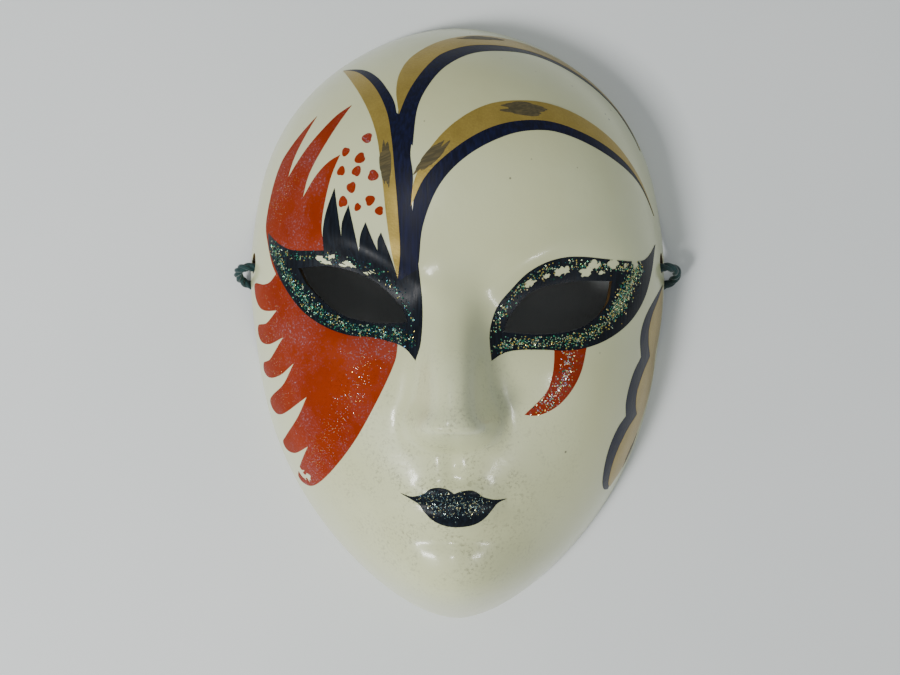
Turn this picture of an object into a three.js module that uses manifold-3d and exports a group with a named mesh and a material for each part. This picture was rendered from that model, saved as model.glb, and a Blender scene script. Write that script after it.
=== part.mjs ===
// A full-face carnival mask of papier-mache, lying face up on its rim.
// Millimetres, +Z up out of the face, +Y towards the crown, origin under the middle of the rim.
import * as THREE from "three";
import { ParametricGeometry } from "three/addons/geometries/ParametricGeometry.js";
import { mergeVertices } from "three/addons/utils/BufferGeometryUtils.js";
import Module from "manifold-3d";

// ---------- driving dimensions ----------
const HALF_WIDTH = 81; // half the breadth, at the temples
const CROWN_REACH = 94; // from the widest line up to the top of the rim
const CHIN_REACH = 141; // from the widest line down to the chin of the rim
const SIDE_POWER = 2.24; // superellipse powers round the rim: 2 is an ellipse, less is pointed
const CROWN_POWER = 1.95;
const CHIN_POWER = 1.75;
const DOME_HEIGHT = 58; // the plain dome, before the features are raised on it
const SIDE_DOME_POWER = 2.6; // how flat the dome is in front before it turns down
const CHIN_DOME_POWER = 3.2;
const RIM_SHARE = 0.972; // the dome is cut off at this share of its reach, before it is upright
const SWEEP = THREE.MathUtils.degToRad(76.5); // spreads the rings along the curved wall
const WALL = 2.6; // thickness of the papier-mache
const FACE_SHIFT = -2; // the features sit this far from the middle of the outline

const RIM_LIFT = 6.5; // the rim arches up at each temple, and the cord passes under it
const LIFT_Y = 16; // middle of that arch
const LIFT_REACH = 34; // half its length along Y

const CORD_DIAMETER = 3.5;
const CORD_HOLE_DIAMETER = 8;
const CORD_HOLE_Y = 23;
const HOLE_ABOVE_RIM = 7; // from the edge of the rim up to the middle of the hole
const KNOT_RADIUS = 4.2;

const CRUST_THICKNESS = 0.7; // glitter set in glue, measured upright
const CRUST_GAP = 0.6; // under it, upright too: less where the face slopes
const CRUST_INSET = 1.2; // the crust keeps this far from the edge of the eye opening
const CRUST_AT_NOSE = 4.5; // its width round the eye, at the inner and at the outer corner
const CRUST_AT_TEMPLE = 7;

const RINGS_FRONT = 44;
const RINGS_BACK = 14;
const RINGS_CRUST = 35; // how many of the front's rings lie under the crusts
const SPOKES = 66;
const SPOKE_CROWDING = 0.5; // the spokes stand closer together towards the chin
const LID_STEPS = 18;

// The eye openings and the lips in plan: two corners, and the points that each edge passes.
const LEFT_EYE = {
  inner: [-17, -0.8],
  outer: [-58.2, 19.6],
  upper: [[-20.4, 6.2], [-30.2, 15], [-44.6, 19.9]],
  lower: [[-53.4, 11.8], [-42.2, 2.4], [-28.6, -1.2]],
};
const RIGHT_EYE = {
  inner: [14.8, -4.2],
  outer: [55.8, 14.9],
  upper: [[17.8, 2.4], [25.6, 10.8], [40, 14.4]],
  lower: [[53.4, 5.6], [44, -2.4], [29.8, -5.1]],
};
const LIPS = {
  inner: [-15.6, -61.4],
  outer: [12.2, -62.2],
  upper: [[-7.6, -57.8], [-1.6, -59.4], [4.6, -58.6]],
  lower: [[8.4, -69], [0, -71.6], [-9.4, -69.2]],
};

const WIDEST_Y = (CHIN_REACH - CROWN_REACH) / 2;

// ---------- the outline and the dome ----------
function outlineRadius(angle) {
  const [c, s] = [Math.abs(Math.cos(angle)), Math.abs(Math.sin(angle))];
  const [endPower, reach] =
    Math.sin(angle) >= 0 ? [CROWN_POWER, CROWN_REACH] : [CHIN_POWER, CHIN_REACH];
  const p = SIDE_POWER + (endPower - SIDE_POWER) * s ** 3;
  return ((c / HALF_WIDTH) ** p + (s / reach) ** p) ** (-1 / p);
}

// Height of the rim's edge above the surface that the mask lies on.
function rimHeight(angle) {
  const y = WIDEST_Y + outlineRadius(angle) * Math.sin(angle);
  const along = Math.min(1, Math.abs(y - LIFT_Y) / LIFT_REACH);
  return RIM_LIFT * Math.cos((along * Math.PI) / 2) ** 2;
}

function domeHeight(angle, share) {
  const down = Math.max(0, -Math.sin(angle));
  const p = SIDE_DOME_POWER + (CHIN_DOME_POWER - SIDE_DOME_POWER) * down ** 2;
  const cut = Math.sqrt(1 - RIM_SHARE ** p);
  const rise = (Math.sqrt(1 - (share * RIM_SHARE) ** p) - cut) / (1 - cut);
  const rim = rimHeight(angle);
  return rim + (DOME_HEIGHT - rim) * rise;
}

// ---------- the features, as heights added to the dome ----------
// A bell-shaped bump, turned by an angle in degrees; sharp above 1 gives it a flatter top.
function bump(x, y, at, size, turn = 0, sharp = 1) {
  const t = THREE.MathUtils.degToRad(turn);
  const [dx, dy] = [x - at[0], y - at[1]];
  const u = (dx * Math.cos(t) + dy * Math.sin(t)) / size[0];
  const v = (-dx * Math.sin(t) + dy * Math.cos(t)) / size[1];
  return Math.exp(-((u * u + v * v) ** sharp) / 2);
}

const smooth = THREE.MathUtils.smoothstep;

function eyeMiddle(eye) {
  return [(eye.inner[0] + eye.outer[0]) / 2, (eye.inner[1] + eye.outer[1]) / 2];
}

function eyeTurn(eye) {
  const angle = Math.atan2(eye.outer[1] - eye.inner[1], eye.outer[0] - eye.inner[0]);
  return THREE.MathUtils.radToDeg(angle);
}

function nose(x, y) {
  const down = 1 - smooth(y, -34, 26); // 0 at the brow, 1 at the tip
  const height = 19.5 * down ** 1.1;
  const halfWidth = 8 + 1.6 * down ** 1.5;
  const underside = smooth(y, -47, -35.5);
  return height * underside * Math.exp(-0.69 * (Math.abs(x) / halfWidth) ** 2.6);
}

// What both sides of the wall follow. The x of every feature is from the middle of the face.
function broadFeatures(x, y) {
  let z = nose(x, y);
  for (const eye of [LEFT_EYE, RIGHT_EYE]) {
    const [ex, ey] = eyeMiddle(eye);
    z -= 4.2 * bump(x + FACE_SHIFT, y, [ex, ey + 1], [21, 10.5], eyeTurn(eye), 1.5);
  }
  z += 6.5 * bump(x, y, [0, -64], [20, 15]); // the muzzle under the lips
  z += 18 * bump(x, y, [0, -98], [27, 13]); // the chin
  for (const side of [-1, 1]) z += 1.6 * bump(x, y, [side * 44, -24], [18, 15], side * 30);
  return z;
}

// What only the front shows.
function fineFeatures(x, y) {
  let z = 1.8 * bump(x, y, [0, -36.5], [6.5, 4.5]); // the tip of the nose
  for (const side of [-1, 1]) {
    z += 6 * bump(x, y, [side * 10.6, -35.6], [4, 3.9]); // a wing of the nose
    z += 1.6 * bump(x, y, [side * 5.4, -59.6], [5, 2.6]); // a peak of the upper lip
    z -= 0.7 * bump(x, y, [side * 19.5, -62.5], [3, 3]); // a corner of the mouth
    z += 1.2 * bump(x, y, [side * 26, 22], [14, 3.5], side * 32); // a brow
  }
  z += 2 * bump(x, y, [0, -68], [9, 3.8]); // the lower lip
  z -= 1 * bump(x, y, [0, -63.6], [9, 1.5]); // the line between the lips
  z -= 1 * bump(x, y, [0, -51], [2.6, 4.5]); // the groove under the nose
  z -= 1.5 * bump(x, y, [0, -76.5], [12, 2.8]); // the fold over the chin
  return z;
}

// A point of the face, by the angle from the middle and the share of the way to the rim.
function facePoint(angle, t, fine, target = new THREE.Vector3()) {
  const share = Math.sin(t * SWEEP) / Math.sin(SWEEP);
  const x = outlineRadius(angle) * share * Math.cos(angle);
  const y = WIDEST_Y + outlineRadius(angle) * share * Math.sin(angle);
  const fade = 1 - share ** 16;
  const across = x - FACE_SHIFT;
  const features = broadFeatures(across, y) + (fine ? fineFeatures(across, y) : 0);
  return target.set(x, y, domeHeight(angle, share) + fade * features);
}

function heightAt(x, y, fine) {
  const angle = Math.atan2(y - WIDEST_Y, x);
  const share = Math.min(1, Math.hypot(x, y - WIDEST_Y) / outlineRadius(angle));
  return facePoint(angle, Math.asin(share * Math.sin(SWEEP)) / SWEEP, fine).z;
}

const SLOPE_STEP = 0.05;
function normalAt(x, y, fine) {
  const dx = heightAt(x + SLOPE_STEP, y, fine) - heightAt(x - SLOPE_STEP, y, fine);
  const dy = heightAt(x, y + SLOPE_STEP, fine) - heightAt(x, y - SLOPE_STEP, fine);
  return new THREE.Vector3(-dx, -dy, 2 * SLOPE_STEP).normalize();
}

// The inner side of the wall. The height is known only inside the rim, so at the rim the slope
// is taken a little way in, and the wall's thickness is laid off level, along the flat edge.
const RIM_MARGIN = 0.4;
function innerPoint(angle, t, target) {
  const front = facePoint(angle, t, false);
  const reach = Math.hypot(front.x, front.y - WIDEST_Y);
  const pull = 1 - RIM_MARGIN / Math.max(reach, 2 * RIM_MARGIN);
  const n = normalAt(front.x * pull, WIDEST_Y + (front.y - WIDEST_Y) * pull, false);
  if (t === 1) {
    const inset = WALL / Math.hypot(n.x, n.y);
    const inward = new THREE.Vector3(-inset * Math.cos(angle), -inset * Math.sin(angle), 0);
    return target.copy(front).add(inward);
  }
  target.copy(front).addScaledVector(n, -WALL);
  target.z = Math.max(target.z, rimHeight(angle));
  return target;
}

// ---------- solids ----------
const wasm = await Module();
wasm.setup();

// A solid from a closed geometry. Turned over, a geometry whose faces point in becomes sound.
function toSolid(geometry, turnOver = false) {
  const bare = geometry.clone();
  bare.deleteAttribute("normal");
  bare.deleteAttribute("uv");
  const merged = mergeVertices(bare, 1e-3);
  const triVerts = [];
  const index = merged.index.array;
  for (let i = 0; i < index.length; i += 3) {
    const [a, b, c] = [index[i], index[i + 1], index[i + 2]];
    if (a !== b && b !== c && a !== c) triVerts.push(a, ...(turnOver ? [c, b] : [b, c]));
  }
  const mesh = new wasm.Mesh({
    numProp: 3,
    vertProperties: merged.attributes.position.array,
    triVerts: new Uint32Array(triVerts),
  });
  return new wasm.Manifold(mesh);
}

function toGeometry(solid) {
  const mesh = solid.getMesh();
  const geometry = new THREE.BufferGeometry();
  geometry.setAttribute("position", new THREE.BufferAttribute(mesh.vertProperties, 3));
  geometry.setIndex(new THREE.BufferAttribute(mesh.triVerts, 1));
  geometry.computeVertexNormals();
  return geometry;
}

// The angle of a spoke, from its share of the way round.
function spokeAngle(u) {
  const turn = 2 * Math.PI * (1 - u);
  return turn - SPOKE_CROWDING * Math.cos(turn);
}

function shellBlank() {
  const rows = RINGS_FRONT + RINGS_BACK + 1;
  const place = (u, v, target) => {
    const row = Math.round(v * rows);
    if (row <= RINGS_FRONT) facePoint(spokeAngle(u), row / RINGS_FRONT, true, target);
    else innerPoint(spokeAngle(u), (rows - row) / RINGS_BACK, target);
  };
  return toSolid(new ParametricGeometry(place, SPOKES, rows));
}

// ---------- openings ----------
const plan = (points) => points.map(([x, y]) => new THREE.Vector2(x, y));

// An almond's edge: over the upper points from one corner to the other, back by the lower ones.
function almondOutline(shape) {
  const upper = new THREE.SplineCurve(plan([shape.inner, ...shape.upper, shape.outer]));
  const lower = new THREE.SplineCurve(plan([shape.outer, ...shape.lower, shape.inner]));
  const points = upper.getPoints(LID_STEPS).slice(0, -1);
  return points.concat(lower.getPoints(LID_STEPS).slice(0, -1));
}

function anticlockwise(points) {
  return THREE.ShapeUtils.isClockWise(points) ? points.slice().reverse() : points;
}

// A cutter whose walls stand square to the face all the way round the eye.
const CUT_DEPTH = 12;
function eyeCutter(eye) {
  const shape = new THREE.Shape(anticlockwise(almondOutline(eye)));
  const geometry = new THREE.ExtrudeGeometry(shape, { depth: 1, bevelEnabled: false });
  const position = geometry.attributes.position;
  for (let i = 0; i < position.count; i += 1) {
    const [x, y] = [position.getX(i), position.getY(i)];
    const n = normalAt(x, y, false);
    const reach = (position.getZ(i) - 0.5) * CUT_DEPTH;
    position.setXYZ(i, x + n.x * reach, y + n.y * reach, heightAt(x, y, false) + n.z * reach);
  }
  return toSolid(geometry);
}

// Where the cord hole of one side goes through the wall, and the way out of it.
function holeFrame(side) {
  const angle = Math.asin((CORD_HOLE_Y - WIDEST_Y) / HALF_WIDTH);
  const spoke = side > 0 ? angle : Math.PI - angle;
  const height = rimHeight(spoke) + HOLE_ABOVE_RIM;
  let [near, far] = [0.5, 1];
  for (let i = 0; i < 30; i += 1) {
    const middle = (near + far) / 2;
    if (facePoint(spoke, middle, false).z > height) near = middle;
    else far = middle;
  }
  const at = facePoint(spoke, near, false);
  return { at, out: normalAt(at.x, at.y, false) };
}

function holeCutter(side) {
  const { at, out } = holeFrame(side);
  const radius = CORD_HOLE_DIAMETER / 2;
  const geometry = new THREE.CylinderGeometry(radius, radius, 4 * WALL, 24);
  const up = new THREE.Vector3(0, 1, 0);
  geometry.applyQuaternion(new THREE.Quaternion().setFromUnitVectors(up, out));
  geometry.translate(at.x, at.y, at.z);
  return toSolid(geometry);
}

function maskShell() {
  let shell = shellBlank();
  for (const eye of [LEFT_EYE, RIGHT_EYE]) shell = shell.subtract(eyeCutter(eye));
  for (const side of [-1, 1]) shell = shell.subtract(holeCutter(side));
  return toGeometry(shell);
}

// ---------- glitter crusts: thin layers that lie on the face ----------
// A layer over the middle of the face, on the shell's own rings and spokes. Its underside comes
// first, so that each of its facets is split as the shell's is and stays level with it.
function crustBlank() {
  const rows = 2 * RINGS_CRUST + 1;
  const place = (u, v, target) => {
    const row = Math.round(v * rows);
    const under = row <= RINGS_CRUST;
    facePoint(spokeAngle(u), (under ? row : rows - row) / RINGS_FRONT, true, target);
    target.z += CRUST_GAP + (under ? 0 : CRUST_THICKNESS);
  };
  return toSolid(new ParametricGeometry(place, SPOKES, rows), true);
}

// An upright block over an outline, taller than the face.
function block(outline) {
  const shape = new THREE.Shape(anticlockwise(outline));
  const depth = 2 * DOME_HEIGHT;
  return toSolid(new THREE.ExtrudeGeometry(shape, { depth, bevelEnabled: false }));
}

// The eye's outline moved outwards, by one distance at the nose and another at the temple.
function grownEye(eye, atNose, atTemple) {
  const [mx, my] = eyeMiddle(eye);
  const length = eye.outer[0] - eye.inner[0];
  return almondOutline(eye).map((edge) => {
    const along = (edge.x - eye.inner[0]) / length;
    const away = new THREE.Vector2(edge.x - mx, (edge.y - my) * 2).normalize();
    return edge.clone().addScaledVector(away, atNose + (atTemple - atNose) * along);
  });
}

function eyeCrust(blank, eye) {
  const outer = block(grownEye(eye, CRUST_INSET + CRUST_AT_NOSE, CRUST_INSET + CRUST_AT_TEMPLE));
  const inner = block(grownEye(eye, CRUST_INSET, CRUST_INSET));
  return toGeometry(blank.intersect(outer).subtract(inner));
}

// ---------- the cord ----------
const CORD_SIDES = 8;
function cordTube(points, steps) {
  const section = new THREE.Shape();
  section.absarc(0, 0, CORD_DIAMETER / 2, 0, 2 * Math.PI);
  return new THREE.ExtrudeGeometry(section, {
    steps,
    curveSegments: CORD_SIDES / 2,
    bevelEnabled: false,
    extrudePath: new THREE.CatmullRomCurve3(points),
  });
}

// A knot just inside each temple, and the loop that leaves it through the hole, goes round the
// edge of the rim and comes back under it. The loop's points are [out from the rim, along Y from
// the hole, up from the table].
const KNOT = { inset: 12.5, y: CORD_HOLE_Y - 8.5, z: 5.2 };
const LOOP = [
  [-8.8, -5.6, 7.6],
  [-6.2, -2.3, 11.0],
  [-2.6, -1.7, 12.8],
  [0.9, -1.7, 13.2],
  [3.6, -2.6, 11.2],
  [4.6, -4.6, 7.2],
  [3.3, -6.8, 3.6],
  [0.2, -8.3, 2.2],
  [-3.4, -9.0, 2.3],
  [-7.0, -9.0, 3.4],
];
// The short end beyond the knot, given in the same way.
const TAIL = [
  [-12.5, -13.6, 4.4],
  [-12.4, -16.8, 3.0],
  [-13.0, -20.8, 2.0],
  [-14.2, -25.2, 1.9],
  [-16.2, -29.4, 1.9],
];
// The hanging cord lies slack behind the forehead, from the right knot to the left one, and
// crosses over itself once.
const HANGING_CORD = [
  [68.5, 19.6, 4.6],
  [68.2, 23.0, 3.4],
  [67.4, 27.6, 2.2],
  [64.4, 40.0, 1.9],
  [56.6, 55.0, 1.9],
  [44.4, 67.6, 1.9],
  [29.0, 76.6, 1.9],
  [12.6, 81.8, 1.9],
  [-4.0, 82.0, 1.9],
  [-16.4, 75.4, 1.9],
  [-20.6, 63.4, 1.9],
  [-14.6, 52.6, 1.9],
  [-2.6, 48.6, 1.9],
  [8.6, 53.2, 1.9],
  [13.4, 64.0, 2.8],
  [11.0, 75.6, 5.4],
  [3.4, 85.0, 5.4],
  [-8.6, 89.8, 2.6],
  [-22.6, 87.6, 1.9],
  [-36.2, 79.6, 1.9],
  [-48.4, 68.6, 1.9],
  [-58.4, 55.0, 1.9],
  [-64.8, 40.0, 1.9],
  [-67.4, 27.6, 2.2],
  [-68.2, 23.0, 3.4],
  [-68.5, 19.6, 4.6],
];

const vectors = (list) => list.map(([x, y, z]) => new THREE.Vector3(x, y, z));

function besideHole(side, list) {
  return vectors(list.map(([out, y, z]) => [side * (HALF_WIDTH + out), CORD_HOLE_Y + y, z]));
}

function knot(side) {
  const geometry = new THREE.SphereGeometry(KNOT_RADIUS, 10, 8);
  geometry.translate(side * (HALF_WIDTH - KNOT.inset), KNOT.y, KNOT.z);
  return geometry;
}

// ---------- the assembly ----------
const lacquer = new THREE.MeshStandardMaterial({ color: 0xe8e8d8, roughness: 0.28 });
const glitter = new THREE.MeshStandardMaterial({ color: 0x1d2b38, roughness: 0.4, metalness: 0.3 });
const twine = new THREE.MeshStandardMaterial({ color: 0x12302f, roughness: 0.7 });

const mask = new THREE.Group();

function add(name, geometry, material) {
  const mesh = new THREE.Mesh(geometry, material);
  mesh.name = name;
  mask.add(mesh);
}

const crust = crustBlank();
add("mask_shell", maskShell(), lacquer);
add("left_eye_glitter", eyeCrust(crust, LEFT_EYE), glitter);
add("right_eye_glitter", eyeCrust(crust, RIGHT_EYE), glitter);
add("lip_glitter", toGeometry(crust.intersect(block(almondOutline(LIPS)))), glitter);
for (const [name, side] of [["left", -1], ["right", 1]]) {
  add(`${name}_cord_loop`, cordTube(besideHole(side, LOOP), 16), twine);
  add(`${name}_knot`, knot(side), twine);
  add(`${name}_cord_tail`, cordTube(besideHole(side, TAIL), 5), twine);
}
add("hanging_cord", cordTube(vectors(HANGING_CORD), 38), twine);

export default mask;
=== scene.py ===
# %% [markdown]
# A full-face carnival mask, such as is made in a mould from layers of glued paper. The paper
# shell is brushed with gesso, painted, set with glitter and lacquered, and a thin cord is tied
# through a hole at each temple. Here every layer is made as it is in the workshop: a flat plate
# is cut to its outline and then pressed over one form, the mould. All sizes below are in
# millimetres, because a mask is measured in them, and they become metres as a piece is pressed.

import math
import random

import bmesh
import bpy
import numpy as np
from mathutils import Matrix, Vector
from mathutils.geometry import delaunay_2d_cdt


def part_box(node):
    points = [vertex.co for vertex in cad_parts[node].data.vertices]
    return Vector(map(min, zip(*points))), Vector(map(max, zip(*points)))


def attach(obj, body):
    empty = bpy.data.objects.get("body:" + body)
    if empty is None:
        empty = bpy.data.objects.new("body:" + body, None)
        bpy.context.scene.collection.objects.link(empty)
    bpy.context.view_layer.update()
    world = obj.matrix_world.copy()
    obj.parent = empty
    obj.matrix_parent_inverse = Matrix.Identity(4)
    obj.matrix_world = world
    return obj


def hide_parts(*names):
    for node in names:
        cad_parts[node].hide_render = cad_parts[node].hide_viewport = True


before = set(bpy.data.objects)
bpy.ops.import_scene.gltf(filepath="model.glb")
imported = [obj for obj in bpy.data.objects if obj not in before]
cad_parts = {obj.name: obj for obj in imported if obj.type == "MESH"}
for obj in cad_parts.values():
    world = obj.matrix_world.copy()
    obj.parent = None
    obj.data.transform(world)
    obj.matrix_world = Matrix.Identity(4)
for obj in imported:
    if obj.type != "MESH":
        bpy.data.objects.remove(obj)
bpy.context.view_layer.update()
MM = 0.001
SHELL_LOW, SHELL_HIGH = [np.array(corner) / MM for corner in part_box("mask_shell")]
print("shell box in mm:", SHELL_LOW.round(1), SHELL_HIGH.round(1))

# %% [markdown]
# The mask lies face up on a table and is seen from straight above, at arm's length. A plain moderate
# lens from that distance keeps the nose from swelling. The camera and the cords come first.

# %% Camera
SENSOR = 36.0
VIEW_HEIGHT = 440.0
VIEW_WIDTH = 357.75
VIEW_CENTRE = (-2.96, -5.73)


def camera():
    """A camera that looks straight down, with the width of the table that it should take in."""
    lens = bpy.data.cameras.new("view_from_above")
    lens.sensor_width = SENSOR
    lens.lens = SENSOR * VIEW_HEIGHT / VIEW_WIDTH
    lens.clip_start = 0.02
    view = bpy.data.objects.new("view_from_above", lens)
    view.location = (VIEW_CENTRE[0] * MM, VIEW_CENTRE[1] * MM, VIEW_HEIGHT * MM)
    bpy.context.collection.objects.link(view)
    bpy.context.scene.camera = view
    return lens


print("lens:", round(camera().lens, 1), "mm")

# %% [markdown]
# Three small helpers serve every material. Paint charts give colours as sRGB hex values, and the
# shader wants linear light, so one function turns them. One function adds a shader node with its
# settings and its links, so that a material reads as a list of its layers.

# %% Material helpers


def linear(hex_colour):
    """An sRGB hex colour as linear red, green, blue and alpha."""
    parts = [int(hex_colour[i : i + 2], 16) / 255 for i in (1, 3, 5)]
    return [c / 12.92 if c <= 0.04045 else ((c + 0.055) / 1.055) ** 2.4 for c in parts] + [1.0]


def node(material, kind, inputs=None, **settings):
    """Adds a shader node. An input is a value, or a socket that is linked to it."""
    tree = material.node_tree
    made = tree.nodes.new("ShaderNode" + kind)
    for name, value in settings.items():
        setattr(made, name, value)
    for name, value in (inputs or {}).items():
        if isinstance(value, bpy.types.NodeSocket):
            tree.links.new(value, made.inputs[name])
        else:
            made.inputs[name].default_value = value
    return made


def new_material(name):
    """An empty material with its output and one principled shader."""
    material = bpy.data.materials.new(name)
    material.use_nodes = True
    material.node_tree.nodes.clear()
    shader = node(material, "BsdfPrincipled")
    node(material, "OutputMaterial", {"Surface": shader.outputs["BSDF"]})
    return material, shader


def link(material, source, shader, socket):
    material.node_tree.links.new(source, shader.inputs[socket])


def per_metre(size_mm):
    """The scale that gives a pattern features of about this size on Object coordinates."""
    return 1.0 / (size_mm * MM)


def place(material):
    return node(material, "TexCoord").outputs["Object"]


def noise(material, at, size_mm, detail=2.0, roughness=0.5, distortion=0.0):
    made = node(material, "TexNoise", {"Vector": at, "Scale": per_metre(size_mm), "Detail": detail})
    made.inputs["Roughness"].default_value = roughness
    made.inputs["Distortion"].default_value = distortion
    return made.outputs["Fac"]


def ramp(material, value, low, high):
    """Stretches a value so that low becomes 0 and high becomes 1, and holds it between them."""
    made = node(material, "MapRange", {"Value": value, "From Min": low, "From Max": high})
    return made.outputs["Result"]


def math_of(material, operation, *values):
    return node(material, "Math", dict(enumerate(values)), operation=operation).outputs[0]


def blend_of(material, share, first, second):
    """First where share is 0 and second where it is 1."""
    made = node(material, "Mix", {"Factor": share}, data_type="RGBA")
    for index, colour in ((6, first), (7, second)):
        if isinstance(colour, bpy.types.NodeSocket):
            material.node_tree.links.new(colour, made.inputs[index])
        else:
            made.inputs[index].default_value = colour
    return made.outputs[2]


def bump_of(material, height, depth_mm, under=None):
    inputs = {"Height": height, "Strength": 1.0, "Distance": depth_mm * MM}
    if under is not None:
        inputs["Normal"] = under
    return node(material, "Bump", inputs).outputs["Normal"]


print("helpers ready, white is", linear("#FFFFFF")[:3])

# %% [markdown]
# The cord is a limp twisted twine of three strands. Its route is given point by point: it leaves a
# knot behind each temple, and one slack length lies behind the forehead. A round tube would look like
# wire, so the section is the outline of three touching strands, and it turns as it goes.

# %% Cord routes
CORD_DIAMETER = 3.5
STRANDS = 3
STRAND_SHARE = 0.57
LAY_LENGTH = 11.0
HOLE_Y = 23.0
HALF_WIDTH = float(SHELL_HIGH[0])
KNOT_INSET, KNOT_Y, KNOT_Z = 12.5, HOLE_Y - 8.5, 5.2
LOOP = [
    (-8.8, -5.6, 7.6), (-6.2, -2.3, 11.0), (-2.6, -1.7, 12.8), (0.9, -1.7, 13.2),
    (3.6, -2.6, 11.2), (4.6, -4.6, 7.2), (3.3, -6.8, 3.6), (0.2, -8.3, 2.2),
    (-3.4, -9.0, 2.3), (-7.0, -9.0, 3.4),
]
TAIL = [
    (-12.5, -13.6, 4.4), (-12.4, -16.8, 3.0), (-13.0, -20.8, 2.0), (-14.2, -25.2, 1.9),
    (-16.2, -29.4, 1.9),
]
HANGING_CORD = [
    (68.5, 19.6, 4.6), (68.2, 23.0, 3.4), (67.4, 27.6, 2.2), (64.4, 40.0, 1.9),
    (56.6, 55.0, 1.9), (44.4, 67.6, 1.9), (29.0, 76.6, 1.9), (12.6, 81.8, 1.9),
    (-4.0, 82.0, 1.9), (-16.4, 75.4, 1.9), (-20.6, 63.4, 1.9), (-14.6, 52.6, 1.9),
    (-2.6, 48.6, 1.9), (8.6, 53.2, 1.9), (13.4, 64.0, 2.8), (11.0, 75.6, 5.4),
    (3.4, 85.0, 5.4), (-8.6, 89.8, 2.6), (-22.6, 87.6, 1.9), (-36.2, 79.6, 1.9),
    (-48.4, 68.6, 1.9), (-58.4, 55.0, 1.9), (-64.8, 40.0, 1.9), (-67.4, 27.6, 2.2),
    (-68.2, 23.0, 3.4), (-68.5, 19.6, 4.6),
]


def through(points, step, closed=False):
    """A smooth curve through given points, as evenly spaced points about a step apart."""
    knots = np.array(points, float)
    before = knots[-1:] if closed else 2 * knots[:1] - knots[1:2]
    after = knots[:2] if closed else 2 * knots[-1:] - knots[-2:-1]
    run = np.vstack([before, knots, after])
    t = np.linspace(0, 1, 24, endpoint=False)[:, None]
    dense = []
    for a, b, c, d in zip(run[:-3], run[1:-2], run[2:-1], run[3:]):
        bend = 2 * a - 5 * b + 4 * c - d
        twist = 3 * b - a - 3 * c + d
        dense.append(b + 0.5 * t * ((c - a) + t * (bend + t * twist)))
    dense = np.vstack(dense + [knots[:1] if closed else knots[-1:]])
    along = np.concatenate([[0], np.cumsum(np.linalg.norm(np.diff(dense, axis=0), axis=1))])
    count = max(2, int(round(along[-1] / step)) + 1)
    even = np.linspace(0, along[-1], count)
    return np.column_stack([np.interp(even, along, dense[:, k]) for k in range(knots.shape[1])])


def beside_hole(side, points):
    return [(side * (HALF_WIDTH + out), HOLE_Y + y, z) for out, y, z in points]


ring_path = through(HANGING_CORD, 0.6)

# %% Cord pieces


def strand_radius(turn):
    """How far three strands side by side reach in a direction, as a share of the cord's radius."""
    off = (turn % (2 * math.pi / STRANDS)) - math.pi / STRANDS
    from_middle = 1 - STRAND_SHARE
    return from_middle * math.cos(off) + math.sqrt(
        STRAND_SHARE**2 - (from_middle * math.sin(off)) ** 2
    )


def twisted_cord(name, path, diameter, lay_length=LAY_LENGTH, sides=24, closed=False):
    """A tube of twisted strands along a path in mm, with one ring of points at each path point."""
    mesh_maker = bmesh.new()
    uv = mesh_maker.loops.layers.uv.new("along_the_strands")
    tangents = np.gradient(path, axis=0)
    if closed:
        tangents = np.roll(path, -1, axis=0) - np.roll(path, 1, axis=0)
    tangents /= np.linalg.norm(tangents, axis=1)[:, None]
    across = Vector((0, 0, 1)).cross(Vector(tangents[0])).normalized()
    run = np.concatenate([[0], np.cumsum(np.linalg.norm(np.diff(path, axis=0), axis=1))])
    turns = round(run[-1] / lay_length) if closed else run[-1] / lay_length
    rings = []
    for centre, tangent, length in zip(path, tangents, run):
        ahead = Vector(tangent)
        across = (across - ahead * across.dot(ahead)).normalized()
        upward = ahead.cross(across)
        twist = 2 * math.pi * turns * length / run[-1]
        ring = []
        for k in range(sides):
            angle = 2 * math.pi * k / sides
            reach = 0.5 * diameter * strand_radius(angle)
            offset = across * math.cos(angle + twist) + upward * math.sin(angle + twist)
            ring.append(mesh_maker.verts.new((Vector(centre) + offset * reach) * MM))
        rings.append(ring)
    pairs = list(zip(range(len(rings) - 1), range(1, len(rings))))
    if closed:
        pairs.append((len(rings) - 1, 0))
    for first, second in pairs:
        for k in range(sides):
            n = (k + 1) % sides
            corners = (rings[first][k], rings[first][n], rings[second][n], rings[second][k])
            face = mesh_maker.faces.new(corners)
            face.smooth = True
            places = ((first, k), (first, k + 1), (second, k + 1), (second, k))
            for loop, (ring, side) in zip(face.loops, places):
                loop[uv].uv = (run[ring], side / sides)
    if not closed:
        for ring, flip in ((rings[0], True), (rings[-1], False)):
            mesh_maker.faces.new(reversed(ring) if flip else ring)
    return to_object(name, mesh_maker)


def to_object(name, mesh_maker):
    mesh = bpy.data.meshes.new(name)
    mesh_maker.to_mesh(mesh)
    mesh_maker.free()
    piece = bpy.data.objects.new(name, mesh)
    bpy.context.collection.objects.link(piece)
    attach(piece, "root")
    return piece


def knot_path(side):
    """A tight overhand knot: a line that goes twice round and three times over itself."""
    t = np.linspace(0, 2 * math.pi, 120, endpoint=False)
    reach = 2.3 + 1.1 * np.cos(3 * t)
    centre = (side * (HALF_WIDTH - KNOT_INSET), KNOT_Y, KNOT_Z)
    x = centre[0] + side * 1.25 * np.sin(3 * t)
    y = centre[1] + reach * np.cos(2 * t)
    z = centre[2] + 0.85 * reach * np.sin(2 * t)
    return np.column_stack([x, y, z])


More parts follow.
